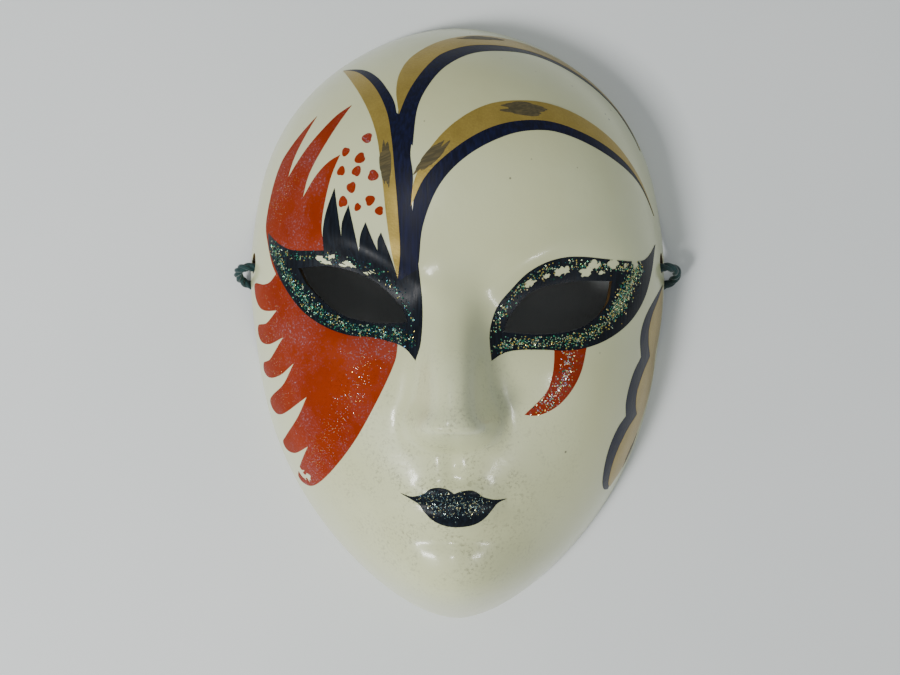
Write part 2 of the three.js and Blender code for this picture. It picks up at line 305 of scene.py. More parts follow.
cord_pieces = []
hanging = twisted_cord("hanging_cord_twine", ring_path, CORD_DIAMETER)
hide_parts("hanging_cord")
cord_pieces.append(hanging)
for side_name, side in (("left", -1), ("right", 1)):
    loop = twisted_cord(
        f"{side_name}_loop_twine", through(beside_hole(side, LOOP), 0.5), CORD_DIAMETER
    )
    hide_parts(f"{side_name}_cord_loop")
    tail = twisted_cord(
        f"{side_name}_tail_twine", through(beside_hole(side, TAIL), 0.6), CORD_DIAMETER
    )
    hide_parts(f"{side_name}_cord_tail")
    knot = twisted_cord(f"{side_name}_knot_twine", knot_path(side), 3.0, 9.0, closed=True)
    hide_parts(f"{side_name}_knot")
    cord_pieces += [loop, tail, knot]
print("cord pieces:", [piece.name for piece in cord_pieces])

# %% [markdown]
# The mould. Any point of the face is found from its direction round the widest line and its
# share of the way to the rim. The outline is a super-ellipse whose power changes from the sides
# to the crown and the chin, and the dome falls from it as another one. The nose, the eye
# hollows, the lips and the chin are soft bumps added on top. A formula suits this better than
# sculpting, because every paint layer can be pressed over exactly the same form.

# %% The outline and the dome
CROWN_SHARE = 0.4
LENGTH = float(SHELL_HIGH[1] - SHELL_LOW[1])
CROWN_REACH = CROWN_SHARE * LENGTH
CHIN_REACH = LENGTH - CROWN_REACH
WIDEST_Y = float(SHELL_HIGH[1]) - CROWN_REACH
SIDE_POWER, CROWN_POWER, CHIN_POWER = 2.24, 1.95, 1.75
DOME_HEIGHT = 58.0
SIDE_DOME_POWER, CHIN_DOME_POWER = 2.6, 3.2
RIM_SHARE = 0.972
WALL = 2.6
RIM_LIFT, LIFT_Y, LIFT_REACH = 6.5, 16.0, 34.0


def outline_reach(angle):
    """How far the rim is from the middle of the widest line, in each direction."""
    s, c = np.sin(angle), np.cos(angle)
    end_power = np.where(s >= 0, CROWN_POWER, CHIN_POWER)
    power = SIDE_POWER + (end_power - SIDE_POWER) * np.abs(s) ** 3
    reach = np.where(s >= 0, CROWN_REACH, CHIN_REACH)
    return (np.abs(c / HALF_WIDTH) ** power + np.abs(s / reach) ** power) ** (-1 / power)


def rim_height(angle):
    """The rim lies on the table, apart from a low arch at each temple."""
    y = WIDEST_Y + outline_reach(angle) * np.sin(angle)
    away = np.minimum(1, np.abs(y - LIFT_Y) / LIFT_REACH)
    return RIM_LIFT * np.cos(away * math.pi / 2) ** 2


def dome(angle, share):
    down = np.maximum(0, -np.sin(angle))
    power = SIDE_DOME_POWER + (CHIN_DOME_POWER - SIDE_DOME_POWER) * down**2
    cut = np.sqrt(1 - RIM_SHARE**power)
    left_over = np.maximum(0, 1 - (share * RIM_SHARE) ** power)
    rise = (np.sqrt(left_over) - cut) / (1 - cut)
    low = rim_height(angle)
    return low + (DOME_HEIGHT - low) * rise


print("rim reach at the chin:", round(float(outline_reach(-math.pi / 2)), 1), "mm")

# %% The features
FACE_SHIFT = -2.0
LEFT_EYE = {
    "corners": ((-17.0, -0.8), (-58.2, 19.6)),
    "upper": ((-20.4, 6.2), (-30.2, 15.0), (-44.6, 19.9)),
    "lower": ((-53.4, 11.8), (-42.2, 2.4), (-28.6, -1.2)),
}
RIGHT_EYE = {
    "corners": ((14.8, -4.2), (55.8, 14.9)),
    "upper": ((17.8, 2.4), (25.6, 10.8), (40.0, 14.4)),
    "lower": ((53.4, 5.6), (44.0, -2.4), (29.8, -5.1)),
}


def bump(x, y, at, size, turn=0.0, sharp=1.0):
    """A round hill, 1 high, with its two half-widths and a turn in degrees."""
    c, s = math.cos(math.radians(turn)), math.sin(math.radians(turn))
    u = ((x - at[0]) * c + (y - at[1]) * s) / size[0]
    v = ((y - at[1]) * c - (x - at[0]) * s) / size[1]
    return np.exp(-((u * u + v * v) ** sharp) / 2)


def smooth(low, high, value):
    t = np.clip((value - low) / (high - low), 0, 1)
    return t * t * (3 - 2 * t)


def nose(x, y):
    """A ridge that starts at the brow, widens to the tip and drops under it."""
    down = 1 - smooth(-34, 26, y)
    width = 8 + 1.6 * down**1.5
    return 19.5 * down**1.1 * smooth(-47, -35.5, y) * np.exp(-0.69 * (np.abs(x) / width) ** 2.6)


def features(x, y):
    z = nose(x, y)
    for eye in (LEFT_EYE, RIGHT_EYE):
        (x0, y0), (x1, y1) = eye["corners"]
        at = ((x0 + x1) / 2, (y0 + y1) / 2 + 1)
        turn = math.degrees(math.atan2(y1 - y0, x1 - x0))
        z = z - 4.2 * bump(x + FACE_SHIFT, y, at, (21, 10.5), turn, 1.5)
    z = z + 6.5 * bump(x, y, (0, -64), (20, 15))
    z = z + 18 * bump(x, y, (0, -98), (27, 13))
    z = z + 1.8 * bump(x, y, (0, -36.5), (6.5, 4.5))
    for s in (-1, 1):
        z = z + 1.6 * bump(x, y, (s * 44, -24), (18, 15), s * 30)
        z = z + 6.0 * bump(x, y, (s * 10.6, -35.6), (4, 3.9))
        z = z + 1.6 * bump(x, y, (s * 5.4, -59.6), (5, 2.6))
        z = z - 0.7 * bump(x, y, (s * 19.5, -62.5), (3, 3))
        z = z + 1.2 * bump(x, y, (s * 26, 22), (14, 3.5), s * 32)
    z = z + 2.0 * bump(x, y, (0, -68), (9, 3.8)) - 1.0 * bump(x, y, (0, -63.6), (9, 1.5))
    return z - 1.0 * bump(x, y, (0, -51), (2.6, 4.5)) - 1.5 * bump(x, y, (0, -76.5), (12, 2.8))


print("nose ridge at its tip:", round(float(nose(0.0, -34.0)), 1), "mm")

# %% [markdown]
# A sheet of paper can't lie on a dome without creases, but a map can be drawn flat and wrapped
# round it, as on a globe. The flat plane here is wider than the face, because it is measured
# along the form: a step on it is about a step on the paper, even down the steep sides. The
# height above the form is the plane's third direction, so a plate keeps its thickness.

# %% From the flat plane to the form
SWEEP = math.radians(76.5)
STRETCH = 1.35


def surface(p, q):
    """The point of the form over a point of the flat plane."""
    angle = np.arctan2(q - WIDEST_Y, p)
    reach = outline_reach(angle)
    part = np.hypot(p, q - WIDEST_Y) / (reach * STRETCH)
    share = np.sin(part * SWEEP) / math.sin(SWEEP)
    x = reach * share * np.cos(angle)
    y = WIDEST_Y + reach * share * np.sin(angle)
    z = dome(angle, share) + (1 - share**16) * features(x - FACE_SHIFT, y)
    return np.stack([x, y, z], axis=-1)


def unit(vectors):
    return vectors / np.linalg.norm(vectors, axis=-1, keepdims=True)


def lie(p, q):
    """The form's point, its two directions along the flat plane and its outward normal."""
    d = 0.02
    along_p = surface(p + d, q) - surface(p - d, q)
    along_q = surface(p, q + d) - surface(p, q - d)
    normal = unit(np.cross(along_p, along_q))
    return surface(p, q), along_p / (2 * d), along_q / (2 * d), normal


def flat_of(x, y):
    """The point of the flat plane for a place on the face seen from the front."""
    angle = np.arctan2(y - WIDEST_Y, x)
    reach = outline_reach(angle)
    part = np.arcsin(np.hypot(x, y - WIDEST_Y) / reach * math.sin(SWEEP)) / SWEEP
    return np.column_stack(
        [part * reach * STRETCH * np.cos(angle), WIDEST_Y + part * reach * STRETCH * np.sin(angle)]
    )


print("nose tip stands at", surface(np.float64(-2), np.float64(-34)).round(1))

# %% [markdown]
# Cutting and pressing. A plate starts as its outline, with smooth stretches between sharp
# corners. The inside is filled with even triangles, which bend better over a curved form than
# one big face or a fan would. The sheet is extruded to a plate and, for the thick shell, its
# edges are bevelled while it is still flat. Pressing then moves each point onto the form. The
# exact normals of the form are kept on the faces, so that gloss runs over them without ripples.

# %% Outlines


def outline(*runs, step=0.9):
    """A closed outline of smooth runs. Each run starts where the last one ended, at a corner."""
    points = []
    start = runs[-1][-1]
    for run in runs:
        points.append(through([start, *run], step)[:-1])
        start = run[-1]
    return np.vstack(points)


def round_outline(points, step=0.9):
    return through(points, step, closed=True)[:-1]


def almond(eye, grow=0.0):
    """An eye opening on the flat plane, grown outwards by some mm."""
    inner, outer = eye["corners"]
    rim = outline([*eye["upper"], outer], [*eye["lower"], inner])
    flat = flat_of(rim[:, 0], rim[:, 1])
    return grown(flat, grow)


def grown(flat, by):
    edges = np.roll(flat, -1, axis=0) - np.roll(flat, 1, axis=0)
    normals = unit(np.column_stack([edges[:, 1], -edges[:, 0]]))
    area = np.sum(flat[:, 0] * np.roll(flat[:, 1], -1) - np.roll(flat[:, 0], -1) * flat[:, 1])
    return flat + normals * by * np.sign(area)


def circle_on_form(x, y, radius, count=28):
    """A circle of a true radius on the form, as the outline on the flat plane."""
    (p, q), = flat_of(np.array([x]), np.array([y]))
    _, along_p, along_q, _ = lie(p, q)
    turn = np.linspace(0, 2 * math.pi, count, endpoint=False)
    across = radius / np.linalg.norm(along_p)
    upward = radius / np.linalg.norm(along_q)
    return np.column_stack([p + across * np.cos(turn), q + upward * np.sin(turn)])


print("left eye outline:", len(almond(LEFT_EYE)), "points")

# %% Filling an outline with even triangles


def inside(points, loop):
    """Which points lie inside a closed loop, by counting the edges to their right."""
    x, y = points[:, 0][:, None], points[:, 1][:, None]
    x0, y0 = loop[:, 0], loop[:, 1]
    x1, y1 = np.roll(x0, -1), np.roll(y0, -1)
    crosses = (y0 > y) != (y1 > y)
    rise = np.where(y1 == y0, 1.0, y1 - y0)
    return np.count_nonzero(crosses & (x < x0 + (y - y0) * (x1 - x0) / rise), axis=1) % 2 == 1


def covered(points, loops, holes):
    result = np.zeros(len(points), bool)
    for loop in loops:
        result |= inside(points, loop)
    for hole in holes:
        result &= ~inside(points, hole)
    return result


def lattice(low, high, step):
    """Points of an even triangular net over a rectangle."""
    rows = np.arange(low[1], high[1], step * math.sqrt(3) / 2)
    columns = np.arange(low[0], high[0], step)
    grid = [np.column_stack([columns + step / 2 * (i % 2), np.full(len(columns), y)])
            for i, y in enumerate(rows)]
    return np.vstack(grid)


def clear_of(points, loop, distance):
    """Which points keep their distance from a loop, worked out a few thousand at a time."""
    keep = np.ones(len(points), bool)
    batch = 4000
    for start in range(0, len(points), batch):
        part = points[start : start + batch]
        gaps = np.hypot(*(part[:, None, :] - loop[None, :, :]).transpose(2, 0, 1))
        keep[start : start + batch] = gaps.min(axis=1) > distance
    return keep


def fill(loops, holes, nets):
    """A flat sheet inside the loops and outside the holes, with points from each net."""
    net = np.vstack(nets)
    net = net[covered(net, loops, holes)]
    for loop in [*loops, *holes]:
        spacing = np.median(np.linalg.norm(np.diff(loop, axis=0), axis=1))
        net = net[clear_of(net, loop, 0.75 * max(spacing, 0.6))]
    points, edges = [tuple(point) for point in net], []
    for loop in [*loops, *holes]:
        first = len(points)
        points += [tuple(point) for point in loop]
        edges += [(first + k, first + (k + 1) % len(loop)) for k in range(len(loop))]
    vertices, _, triangles, *_ = delaunay_2d_cdt([Vector(p) for p in points], edges, [], 0, 1e-4)
    places = np.array([tuple(v) for v in vertices])
    corners = np.array(triangles)
    kept = corners[covered(places[corners].mean(axis=1), loops, holes)]
    sheet = bmesh.new()
    made = [sheet.verts.new((p[0], p[1], 0.0)) for p in places]
    for triangle in kept:
        sheet.faces.new([made[k] for k in triangle])
    loose = [v for v in sheet.verts if not v.link_faces]
    bmesh.ops.delete(sheet, geom=loose, context="VERTS")
    return sheet


def plate(sheet, top, bottom, rounding=0.0):
    """Gives a flat sheet its thickness, and rounds its edges."""
    bmesh.ops.recalc_face_normals(sheet, faces=sheet.faces)
    grown_parts = bmesh.ops.extrude_face_region(sheet, geom=sheet.faces[:])["geom"]
    upper = [v for v in grown_parts if isinstance(v, bmesh.types.BMVert)]
    bmesh.ops.translate(sheet, vec=(0, 0, bottom), verts=sheet.verts)
    bmesh.ops.translate(sheet, vec=(0, 0, top - bottom), verts=upper)
    bmesh.ops.recalc_face_normals(sheet, faces=sheet.faces)
    if rounding:
        level = [e for e in sheet.edges if e.verts[0].co.z == e.verts[1].co.z]
        sharp = [e for e in level if e.calc_face_angle(0.0) > 1.0]
        bmesh.ops.bevel(
            sheet, geom=sharp, offset=rounding, offset_type="OFFSET", affect="EDGES",
            segments=3, profile=0.5, material=-1,
        )
    return sheet


print("fill and plate ready")

# %% Pressing a plate over the form


def press(name, flat_plate, rim_is_flat=False):
    """Bends a plate over the form and makes it a piece, with the form's own normals."""
    flat_plate.normal_update()
    for face in flat_plate.faces:
        face.smooth = True
        face.material_index = 1 if face.normal.z < 0.3 else 0
    piece = to_object(name, flat_plate)
    mesh = piece.data
    flat = np.empty(len(mesh.vertices) * 3)
    mesh.vertices.foreach_get("co", flat)
    flat = flat.reshape(-1, 3)
    point, along_p, along_q, normal = lie(flat[:, 0], flat[:, 1])
    place_mm = point + normal * flat[:, 2:3]
    if rim_is_flat:
        angle = np.arctan2(place_mm[:, 1] - WIDEST_Y, place_mm[:, 0])
        place_mm[:, 2] = np.maximum(place_mm[:, 2], rim_height(angle))
    side_p = unit(along_p)
    side_q = np.cross(normal, side_p)
    corner_vertex = np.empty(len(mesh.loops), int)
    mesh.loops.foreach_get("vertex_index", corner_vertex)
    flat_normals = np.empty(len(mesh.vertices) * 3)
    mesh.vertices.foreach_get("normal", flat_normals)
    flat_normals = flat_normals.reshape(-1, 3)[corner_vertex]
    faces = np.repeat(np.arange(len(mesh.polygons)), [p.loop_total for p in mesh.polygons])
    face_normals = np.empty(len(mesh.polygons) * 3)
    mesh.polygons.foreach_get("normal", face_normals)
    face_z = face_normals.reshape(-1, 3)[faces][:, 2]
    level = np.abs(face_z) > 0.99
    flat_normals[level] = np.column_stack([0 * face_z, 0 * face_z, np.sign(face_z)])[level]
    bent = (
        flat_normals[:, 0:1] * side_p[corner_vertex]
        + flat_normals[:, 1:2] * side_q[corner_vertex]
        + flat_normals[:, 2:3] * normal[corner_vertex]
    )
    mesh.vertices.foreach_set("co", (place_mm * MM).ravel())
    mesh.update()
    mesh.normals_split_custom_set([tuple(n) for n in unit(bent)])
    return piece


def triangles(piece):
    return sum(p.loop_total - 2 for p in piece.data.polygons)


print("press ready")

# %% [markdown]
# The shell is eight or ten layers of paper, 2.6 mm thick, with its edges rubbed round. The eye
# openings and the two cord holes are cut through it. The net is closer round the nose and mouth,
# where the form turns quickly.

# %% The paper shell
HOLE_DIAMETER = 8.0
CORD_HOLE_X = 78.9
EDGE_ROUNDING = 0.45
WIDE_NET, CLOSE_NET = 1.7, 0.95
CLOSE_LOW, CLOSE_HIGH = (-31.0, -92.0), (27.0, -22.0)


def rim_outline(step=1.5):
    angle = np.linspace(0, 2 * math.pi, 2400)
    reach = outline_reach(angle) * STRETCH
    ring = np.column_stack([reach * np.cos(angle), WIDEST_Y + reach * np.sin(angle)])
    along = np.concatenate([[0], np.cumsum(np.linalg.norm(np.diff(ring, axis=0), axis=1))])
    even = np.linspace(0, along[-1], int(along[-1] / step), endpoint=False)
    return np.column_stack([np.interp(even, along, ring[:, k]) for k in range(2)])


def paper_shell():
    rim = rim_outline()
    holes = [almond(LEFT_EYE), almond(RIGHT_EYE)]
    holes += [circle_on_form(s * CORD_HOLE_X, HOLE_Y, HOLE_DIAMETER / 2) for s in (-1, 1)]
    wide = lattice(rim.min(axis=0), rim.max(axis=0), WIDE_NET)
    in_close = np.all((wide > CLOSE_LOW) & (wide < CLOSE_HIGH), axis=1)
    close = lattice(CLOSE_LOW, CLOSE_HIGH, CLOSE_NET)
    sheet = fill([rim], holes, [wide[~in_close], close])
    return press("paper_shell", plate(sheet, 0.0, -WALL, EDGE_ROUNDING), rim_is_flat=True)


shell = paper_shell()
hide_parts("mask_shell")
print("paper shell:", triangles(shell), "triangles")

# %% [markdown]
# The painted ornament. Each colour is a film of its own, cut to its outline on the flat plane and
# pressed over the shell, as thick as brushed paint. Real films give the crisp edges that a painted
# pattern in one material would blur, and each keeps its own gloss. The points below are listed one by
# one, and the runs between the corners are smooth.

# %% Film helper
FILM_NET = 1.5


def film(name, loops, holes=(), top=0.1, step=FILM_NET):
    """A film of paint, its foot sunk a little into the shell."""
    everything = np.vstack(loops)
    net = lattice(everything.min(axis=0) - 1, everything.max(axis=0) + 1, step)
    piece = press(name, plate(fill(list(loops), list(holes), [net]), top, -0.25))
    return piece


def ragged(at, size, turn=0.0, seed=0, teeth=13):
    """The torn outline of one flake of lost paint."""
    pick = random.Random(seed)
    c, s = math.cos(math.radians(turn)), math.sin(math.radians(turn))
    points = []
    for k in range(teeth):
        angle = 2 * math.pi * k / teeth
        reach = 0.5 * pick.uniform(0.42, 1.2)
        u, v = size[0] * reach * math.cos(angle), size[1] * reach * math.sin(angle)
        points.append((at[0] + u * c - v * s, at[1] + u * s + v * c))
    return round_outline(points, step=0.4)


def torn(at, size, turn, seed):
    """A chip: a few ragged flakes that have broken out side by side."""
    pick = random.Random(seed)
    flakes = []
    for k in range(4):
        shift = (pick.uniform(-0.3, 0.3) * size[0], pick.uniform(-0.25, 0.25) * size[1])
        part = (size[0] * pick.uniform(0.4, 0.75), size[1] * pick.uniform(0.5, 0.85))
        flakes.append(ragged((at[0] + shift[0], at[1] + shift[1]), part, turn, seed + 50 * k))
    return flakes


def dry_stroke(at, size, turn, seed):
    """A touch of a nearly dry brush: marks side by side, each ending where its hairs ran out."""
    pick = random.Random(seed)
    c, s = math.cos(math.radians(turn)), math.sin(math.radians(turn))
    mark = [(-1, 0), (-0.6, 0.8), (0.4, 1), (1, 0), (0.5, -1), (-0.6, -0.7)]
    count, half_width = 7, 0.18 * size[1]
    marks = []
    for k in range(count):
        off = 2 * k / (count - 1) - 1
        across = 0.4 * size[1] * off
        half = 0.5 * size[0] * pick.uniform(0.5, 0.95) * math.sqrt(1 - 0.6 * off**2)
        middle = size[0] * pick.uniform(-0.08, 0.08)
        flat = [(middle + half * u, across + half_width * v) for u, v in mark]
        turned = [(at[0] + u * c - v * s, at[1] + u * s + v * c) for u, v in flat]
        marks.append(round_outline(turned, step=0.5))
    return marks


print("film helper ready")

# %% Orange wing, crescent and drops
WING = outline(
    # the outer plume, down its left side to the first lobe
    [(-73, 73), (-79.5, 65.5), (-84.5, 51), (-86.3, 39), (-83, 29.5), (-79.5, 21.5), (-76.3, 16.7)],
    # six lobes, each from its notch out to its round end and back
    [(-81, 13.4), (-87, 12.3), (-98, 12.6), (-98.1, 7), (-93.4, 2.2), (-86.6, 0.6), (-76.3, 1.4)],
    [(-85.6, -4.8), (-96, -7.2), (-98, -11.8), (-93.5, -15), (-84, -14.2), (-72.5, -9.5)],
    [(-84.5, -21), (-93.6, -25.3), (-94.4, -30), (-87.4, -30.9), (-76.5, -26.6), (-66.4, -19.4)],
    [(-74.8, -30.3), (-86.5, -39.2), (-92, -45), (-88.2, -48.5), (-79, -46), (-60.3, -32.4)],
    [(-67.7, -43.8), (-79, -56.9), (-85.6, -64.6), (-83.4, -67.8), (-75, -65.2), (-63.7, -56.4)],
    [(-68.9, -64.6), (-75.4, -75.5), (-78.6, -82.5), (-74.7, -84), (-66, -79.6), (-53.4, -66),
     (-39.6, -47.4), (-29.3, -29.4), (-22.6, -15.3), (-21.2, -8.7)],
    # back under the eye's border
    [(-24, -4.5), (-38, -3), (-52, 2), (-64, 11), (-72, 20)],
    [(-74, 27), (-66, 24.5), (-56, 24), (-49.1, 24)],
    # the inner plume, the middle one and the outer one
    [(-50.9, 35), (-48.2, 51), (-44.5, 61.4)],
    [(-49.7, 59.1), (-55.1, 54.4), (-61, 46.5)],
    [(-58.4, 56.3), (-51.1, 69.4), (-42.5, 84.1)],
    [(-48.7, 80.7), (-55.1, 75), (-62.1, 68.1), (-71.4, 57.2)],
    [(-70.3, 61.9), (-67.9, 68.5), (-60, 84.2)],
)
CRESCENT = outline(
    [(34.2, -9.5)],
    [(34.1, -15.6), (33.4, -21), (31.2, -26.8), (23.6, -34.2)],
    [(28.3, -34.9), (33.3, -33.6), (38, -30.7), (42.4, -25.6), (45.6, -19), (47.6, -9.5)],
    step=0.6,
)
DROPS = [
    (-33.4, 66.7, 3.9, 170), (-42.1, 62.6, 3.3, 250), (-35.6, 58.9, 4.0, 200),
    (-43.5, 54.2, 3.4, 80), (-37.2, 53.4, 3.6, 60), (-30.8, 51.6, 3.9, 340),
    (-38.9, 48.1, 3.7, 290), (-41.9, 42.2, 3.7, 100), (-35.8, 40.4, 2.6, 230),
    (-31.6, 42.2, 3.5, 20), (-27.4, 38.4, 3.0, 180),
]


def drop(p, q, width, turn):
    """A petal that a loaded brush leaves: round at one end and drawn to a point at the other."""
    angle = np.linspace(0, 2 * math.pi, 20, endpoint=False) + math.radians(turn)
    reach = width / 2 * (1 + 0.35 * np.cos(angle - math.radians(turn)) ** 5)
    return np.column_stack([p + reach * np.cos(angle), q + 1.08 * reach * np.sin(angle)])


wing = film("orange_wing", [WING], torn((-70.8, -75.2), (11, 8.5), 40, 4))
crescent = film("orange_crescent", [CRESCENT], step=1.0)
drops = film("orange_drops", [drop(*each) for each in DROPS], step=0.9)
print("orange films:", [triangles(piece) for piece in (wing, crescent, drops)], "triangles")

# %% Dark blue scrolls
LEFT_SCROLL = outline(
    [(-44.6, 105), (-34.8, 92), (-28.2, 78.3), (-25.2, 66), (-23, 50), (-21.7, 36), (-21.2, 12)],
    [(-12.4, 8)],
    [(-13.8, 20.4), (-15.2, 32), (-16, 41), (-15.9, 50.6), (-17, 58.7), (-16.4, 66)],
    [(-19, 72), (-23, 76.5)],
    [(-24.4, 82), (-27.6, 88.6), (-33, 97.4), (-41, 106), (-54.5, 114.8)],
)
UPPER_SCROLL = outline(
    [(-22.4, 77), (-20.2, 85), (-17, 93.2), (-12.2, 102.6), (-6, 110), (5, 116.2), (20, 119.6),
     (36, 120.4), (52, 117.4), (68, 110.6), (80, 102), (88, 91), (91.5, 79)],
    [(87, 88), (78.5, 99.4), (66, 107), (50, 113.2), (34, 115.8), (18, 113), (6, 108.6),
     (-4, 100.4), (-10.4, 90.8), (-15, 78.5), (-16.3, 62)],
    [(-20, 66)],
)
LOWER_SCROLL = outline(
    [(-15.4, 43), (-13.2, 49.6), (-6.8, 57.2), (4, 65.6), (14, 71.2), (25, 74.4), (36, 75.2),
     (48, 73.2), (60, 69.8), (73, 64.2), (84, 55.8), (92.8, 45)],
    [(82.5, 55), (72.5, 60.4), (54, 66.4), (40, 69.6), (30, 69.7), (18, 66.5), (4, 58.4),
     (-6.2, 47.6), (-12, 33.5), (-13.6, 20)],
    [(-16.5, 22)],
)
SCALLOP_EDGE = outline(
    [(92.5, 7.1), (84.3, 1.1), (79.8, -4.7), (78.4, -11.5), (80.3, -19.4)],
    [(75.4, -24.5), (72.4, -31.5), (71.6, -38.5), (73, -44.8)],
    [(68.4, -48.8), (65.2, -55.6), (64, -65), (65.2, -76), (68.5, -83.5), (73, -87)],
    [(72.6, -81), (71.6, -70), (73.4, -61), (78.4, -52.6), (85, -47.6)],
    [(82, -42), (81.6, -35), (85.4, -27), (91.6, -20.8)],
    [(88.4, -14), (88, -7), (90.8, -0.6), (98, 7), (102, 12)],
)
scrolls = film("dark_blue_scrolls", [LEFT_SCROLL, UPPER_SCROLL, LOWER_SCROLL])
scallop_edge = film("dark_blue_scallop", [SCALLOP_EDGE], step=1.2)
print("dark blue films:", [triangles(piece) for piece in (scrolls, scallop_edge)], "triangles")

# %% Gold bands and dry brown touches
LEFT_BLADE = outline(
    [(-38.3, 86.7), (-30.4, 68.4), (-27.1, 51), (-25.2, 37), (-23.3, 24.7), (-20.9, 14.6)],
    [(-20.1, 24), (-20.9, 37), (-22.3, 50.7), (-24.3, 66), (-27.3, 78.6), (-33.9, 92.4),
     (-43.8, 105.4), (-55, 115)],
)
UPPER_BAND = outline(
    [(-24, 87.8), (-23.2, 99), (-18.6, 109.4), (-7, 120.4), (11, 128.6), (28, 130), (44, 127.4),
     (59, 121), (74, 111.6), (85, 100), (91.8, 80)],
    [(87.6, 91), (80, 101), (68, 109.6), (52, 116.2), (36, 119.3), (20, 118.4), (5, 115),
     (-6, 108.8), (-11.4, 102), (-16.2, 93), (-19.4, 85), (-22, 75.6)],
)
LOWER_BAND = outline(
    [(-15.3, 49), (-10, 60.7), (-1, 71.2), (11, 79.2), (25, 82.6), (37, 82.8), (51, 79.5),
     (66, 72.4), (79, 62), (86.5, 53.6), (93, 45)],
    [(84, 54.8), (73, 63.2), (60, 68.8), (48, 72.2), (36, 74.2), (25, 73.4), (14, 70.2),
     (4, 64.6), (-6, 56.4), (-12.2, 49), (-16.4, 39.6)],
)
SCALLOP_FILL = outline(
    [(96.5, 6.6), (89.2, -0.4), (86.2, -7), (86.7, -14), (90, -21)],
    [(83.7, -27.1), (79.9, -35), (80.3, -42), (83.2, -47.8)],
    [(76.6, -52.6), (71.6, -61), (69.8, -70.5), (71, -81), (74, -86)],
    [(82, -79), (88, -68), (91.2, -57), (97.2, -45), (100.4, -33)],
    [(99.8, -22), (103.4, -12), (104.8, -1), (102.4, 11.5)],
)
DRY_TOUCHES = [
    ((-26.0, 55.4), (23, 3.8), 94, 11), ((24.6, 78.6), (24, 5.6), 2, 12),
    ((-9.2, 57.8), (21, 4.2), 50, 13), ((10, 124.4), (28, 3.8), 12, 14),
    ((86, -70), (18, 2.8), 66, 15),
]
gold_pieces = [
    film("gold_left_blade", [LEFT_BLADE], top=0.16),
    film("gold_upper_band", [UPPER_BAND], top=0.16),
    film("gold_lower_band", [LOWER_BAND], top=0.16),
    film("gold_scallops", [SCALLOP_FILL], top=0.16, step=1.2),
]
touch_loops = [mark for touch in DRY_TOUCHES for mark in dry_stroke(*touch)]
touches = film("dry_brown_touches", touch_loops, top=0.21, step=1.2)
print("gold films:", [triangles(piece) for piece in gold_pieces], "triangles")

# %% Eye borders and lips
# The paint laps this far over the edge of an eye opening, and covers the cut paper.
PAINT_LAP = 0.4
LEFT_BORDER = outline(
    [(-75, 29.7), (-66.5, 26.3), (-57, 25.5), (-50, 25.3)],
    # four flames that lick up the brow
    [(-50.3, 32), (-49, 39.5), (-45.8, 48.2)],
    [(-43.8, 38), (-42.2, 29.3)],
    [(-42, 35), (-39.6, 41.2)],
    [(-37.2, 32), (-35.2, 24.1)],
    [(-34.6, 30), (-32.8, 34.5)],
    [(-30, 28), (-28.1, 24.2)],
    [(-28.2, 28), (-27, 30.7)],
    [(-23.8, 23), (-20.6, 14)],
    [(-13.6, 18)],
    [(-12.5, 8.4), (-12.3, 0.8), (-13, -7.8), (-14.8, -13.7)],
    [(-17.9, -10.1), (-22, -7.9), (-30.6, -6.1), (-38.5, -5.9), (-47, -4.1), (-55.2, -0.8),
     (-62.8, 4), (-71, 12), (-77, 19.9), (-81.6, 27.5), (-83.2, 35)],
)
RIGHT_BORDER = outline(
    [(10.6, -5.7), (11.3, -0.3), (13.5, 5.5), (17.9, 10.8), (23.7, 16.5), (30.5, 20.3),
     (38, 22.3), (46, 22.7), (56, 22.2), (66.4, 21.8), (76.6, 22.2), (83, 24.6), (91, 30.8)],
    [(88.6, 25), (86, 18), (80.8, 7.8), (74, 0.3), (66.4, -4.8), (57.1, -8.7), (47.6, -10.9),
     (39.2, -11.4), (30.9, -10.6), (21.8, -10.2), (15.8, -11.1), (11.3, -13.7)],
)
LIPS = outline(
    [(-17.3, -66.7), (-12.8, -64.6), (-10.4, -62.3), (-7.2, -61.4), (-4, -62), (-1.7, -63.6)],
    [(0.8, -62.6), (4.3, -62.3), (6.8, -63.5), (8.9, -65.6), (13.3, -67.6), (18, -68.1)],
    [(14.6, -69.3), (12.3, -72.1), (9.5, -75.5), (5.8, -77.7), (0.2, -78.5), (-5.2, -78),
     (-9.5, -76), (-12.8, -72.6), (-15.2, -69.3), (-21.7, -66.1)],
    step=0.6,
)
LEFT_CHIPS = [((-49.8, 21.6), (8.5, 3.2), -14, 21), ((-40.4, 19.9), (7, 1.9), -16, 22),
              ((-31.6, 16.9), (4.4, 1.3), -28, 23), ((-46.5, 22.6), (4, 2), 30, 24)]
RIGHT_CHIPS = [((25.6, 13.4), (6.5, 2.8), 42, 31), ((37, 17.6), (7, 3.4), 20, 32),
               ((46.6, 17.2), (8.5, 4.2), 8, 33), ((50.6, 20), (5.6, 3.8), 30, 34),
               ((59.6, 19.9), (7, 4.4), 20, 35), ((73, 20), (5.4, 5), 60, 36),
               ((31, 16), (3.6, 1.9), 30, 37), ((66.4, 19.9), (3.4, 2.4), 20, 38),
               ((55, 17), (5, 1.6), 0, 39)]


def chips(list_of_chips):
    return [flake for chip in list_of_chips for flake in torn(*chip)]


